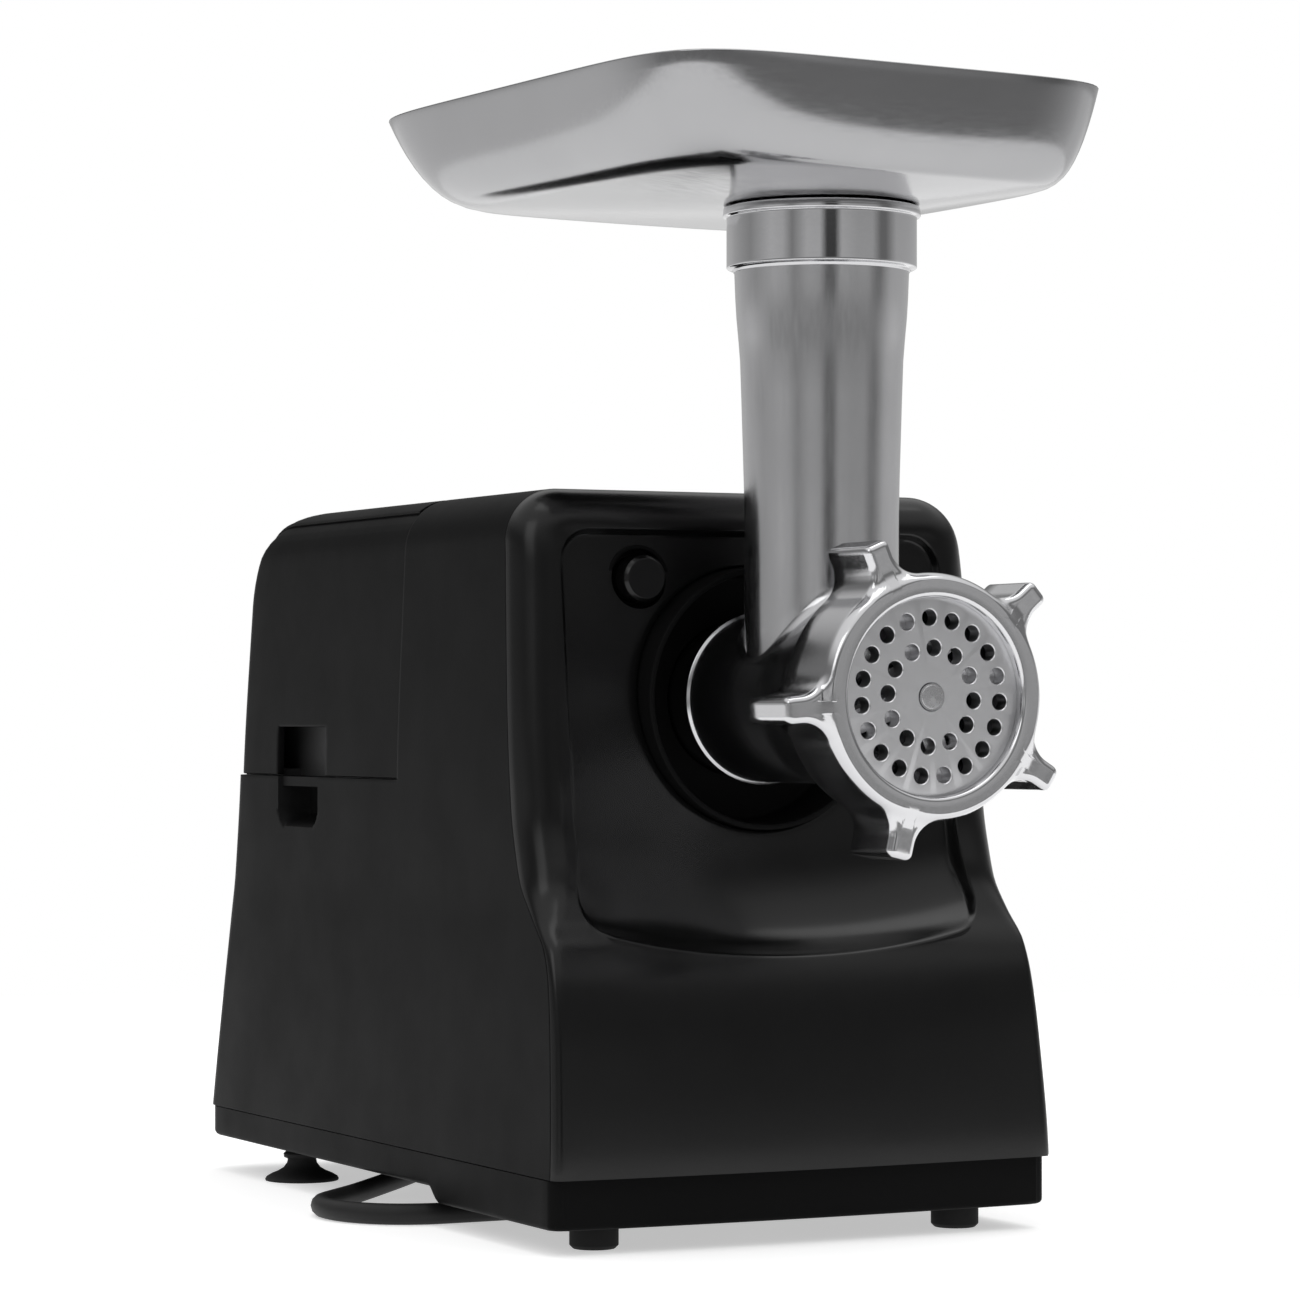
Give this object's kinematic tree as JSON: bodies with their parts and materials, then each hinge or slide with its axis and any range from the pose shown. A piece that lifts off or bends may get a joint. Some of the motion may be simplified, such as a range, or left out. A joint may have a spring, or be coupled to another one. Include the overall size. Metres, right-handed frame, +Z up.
{
  "type": "electric meat grinder",
  "caption": "Electric meat grinder with a cast head, feed tube, food tray, screw ring, geared motor and a lidded storage bay.",
  "frame": {"origin": "on the table, on the body's plane of symmetry, midway between the front and rear feet", "axes": "+Z up, -Y the front where the minced food leaves, +X to the right of someone facing the front"},
  "size_m": [0.266, 0.471, 0.3493],
  "materials": {
    "black_base": "fine moulded texture",
    "black_housing": "satin moulded plastic",
    "black_gloss": "semi-gloss moulded plastic",
    "dark_grey": "moulded plastic",
    "button_grey": "satin moulded plastic",
    "rubber": "matt rubber",
    "cord_black": "smooth cable sheath",
    "steel": "turned steel",
    "ground_steel": "ground steel",
    "polished_steel": "polished stainless sheet",
    "laminations": "stacked laminations",
    "cast_aluminium": "polished casting",
    "polished_aluminium": "bright polished casting",
    "zinc": "plated",
    "gear_nylon": "moulded nylon",
    "bronze": "sintered",
    "copper": "enamelled winding",
    "board_green": "printed board"
  },
  "bodies": {
    "root": {"base_tray": "black_base", "front_feet": "rubber", "suction_feet": "rubber", "base_screws": "steel", "main_housing": "black_housing", "front_fascia": "black_gloss", "neck_socket": "black_base", "storage_tub": "dark_grey", "control_bezel": "black_gloss", "power_spring": "steel", "reverse_spring": "steel", "button_switches": "dark_grey", "circuit_board": "board_green", "release_spring": "steel", "gearbox_case": "dark_grey", "gearbox_cover": "dark_grey", "gearbox_screws": "steel", "output_bearings": "steel", "layshaft_bushes": "bronze", "motor_front_bracket": "zinc", "motor_rear_bracket": "zinc", "motor_bearings": "steel", "motor_mounts": "rubber", "stator_core": "laminations", "field_coils": "copper", "brush_holders": "dark_grey", "carbon_brushes": "dark_grey", "cord_strain_relief": "rubber", "mains_cord": "cord_black", "cord_coil": "cord_black", "coil_tie": "cord_black", "plug_body": "cord_black", "plug_pins": "zinc"},
    "lid": {"storage_lid": "black_housing", "lid_top_panel": "black_housing", "lid_hinge_pin": "steel"},
    "power": {"power_button": "button_grey"},
    "reverse": {"reverse_button": "button_grey"},
    "release": {"release_button": "black_gloss", "release_latch": "steel"},
    "head": {"head_casting": "cast_aluminium", "mincing_plate": "ground_steel"},
    "ring": {"screw_ring": "polished_aluminium"},
    "tray": {"food_tray": "polished_steel"},
    "auger": {"auger": "cast_aluminium", "auger_bushing": "gear_nylon", "cutting_knife": "ground_steel", "output_shaft": "steel", "output_gear": "gear_nylon"},
    "layshaft": {"layshaft": "steel", "layshaft_gear": "gear_nylon"},
    "rotor": {"armature_core": "laminations", "armature_windings": "copper", "commutator": "copper", "motor_shaft": "steel", "motor_pinion": "steel", "cooling_fan": "dark_grey"}
  },
  "joints": [
    {"name": "lid_hinge", "type": "hinge", "parent": "root", "child": "lid", "pos_m": [0, 0.0002, 0.2282], "axis": [1, 0, 0], "range_deg": [0, 75]},
    {"name": "power_press", "type": "slide", "parent": "root", "child": "power", "axis": [-1, 0, 0], "range_m": [0, 0.0025], "stiffness_N_per_m": 600, "springref_m": -0.003, "deforming": ["power_spring"]},
    {"name": "reverse_press", "type": "slide", "parent": "root", "child": "reverse", "axis": [-1, 0, 0], "range_m": [0, 0.0025], "stiffness_N_per_m": 600, "springref_m": -0.003, "deforming": ["reverse_spring"]},
    {"name": "release_press", "type": "slide", "parent": "root", "child": "release", "axis": [0, 1, 0], "range_m": [0, 0.004], "stiffness_N_per_m": 600, "springref_m": -0.004, "deforming": ["release_spring"]},
    {"name": "head_turn", "type": "hinge", "parent": "root", "child": "head", "pos_m": [0, 0, 0.1662], "axis": [0, -1, 0], "range_deg": [0, 45]},
    {"name": "ring_unscrew", "type": "hinge", "parent": "head", "child": "ring", "pos_m": [0, 0, 0.1662], "axis": [0, -1, 0], "range_deg": [0, 1080]},
    {"name": "tray_lift", "type": "slide", "parent": "head", "child": "tray", "axis": [0, 0, 1], "range_m": [0, 0.06]},
    {"name": "auger_spin", "type": "hinge", "parent": "root", "child": "auger", "pos_m": [0, 0, 0.1662], "axis": [0, 1, 0], "continuous": true},
    {"name": "layshaft_spin", "type": "hinge", "parent": "root", "child": "layshaft", "pos_m": [0, 0, 0.1257], "axis": [0, 1, 0], "continuous": true},
    {"name": "rotor_spin", "type": "hinge", "parent": "root", "child": "rotor", "pos_m": [0, 0, 0.0882], "axis": [0, 1, 0], "continuous": true}
  ],
  "couplings": [
    {"joint": "layshaft_spin", "follows": "auger_spin", "ratio": -3.5},
    {"joint": "rotor_spin", "follows": "auger_spin", "ratio": 14}
  ]
}
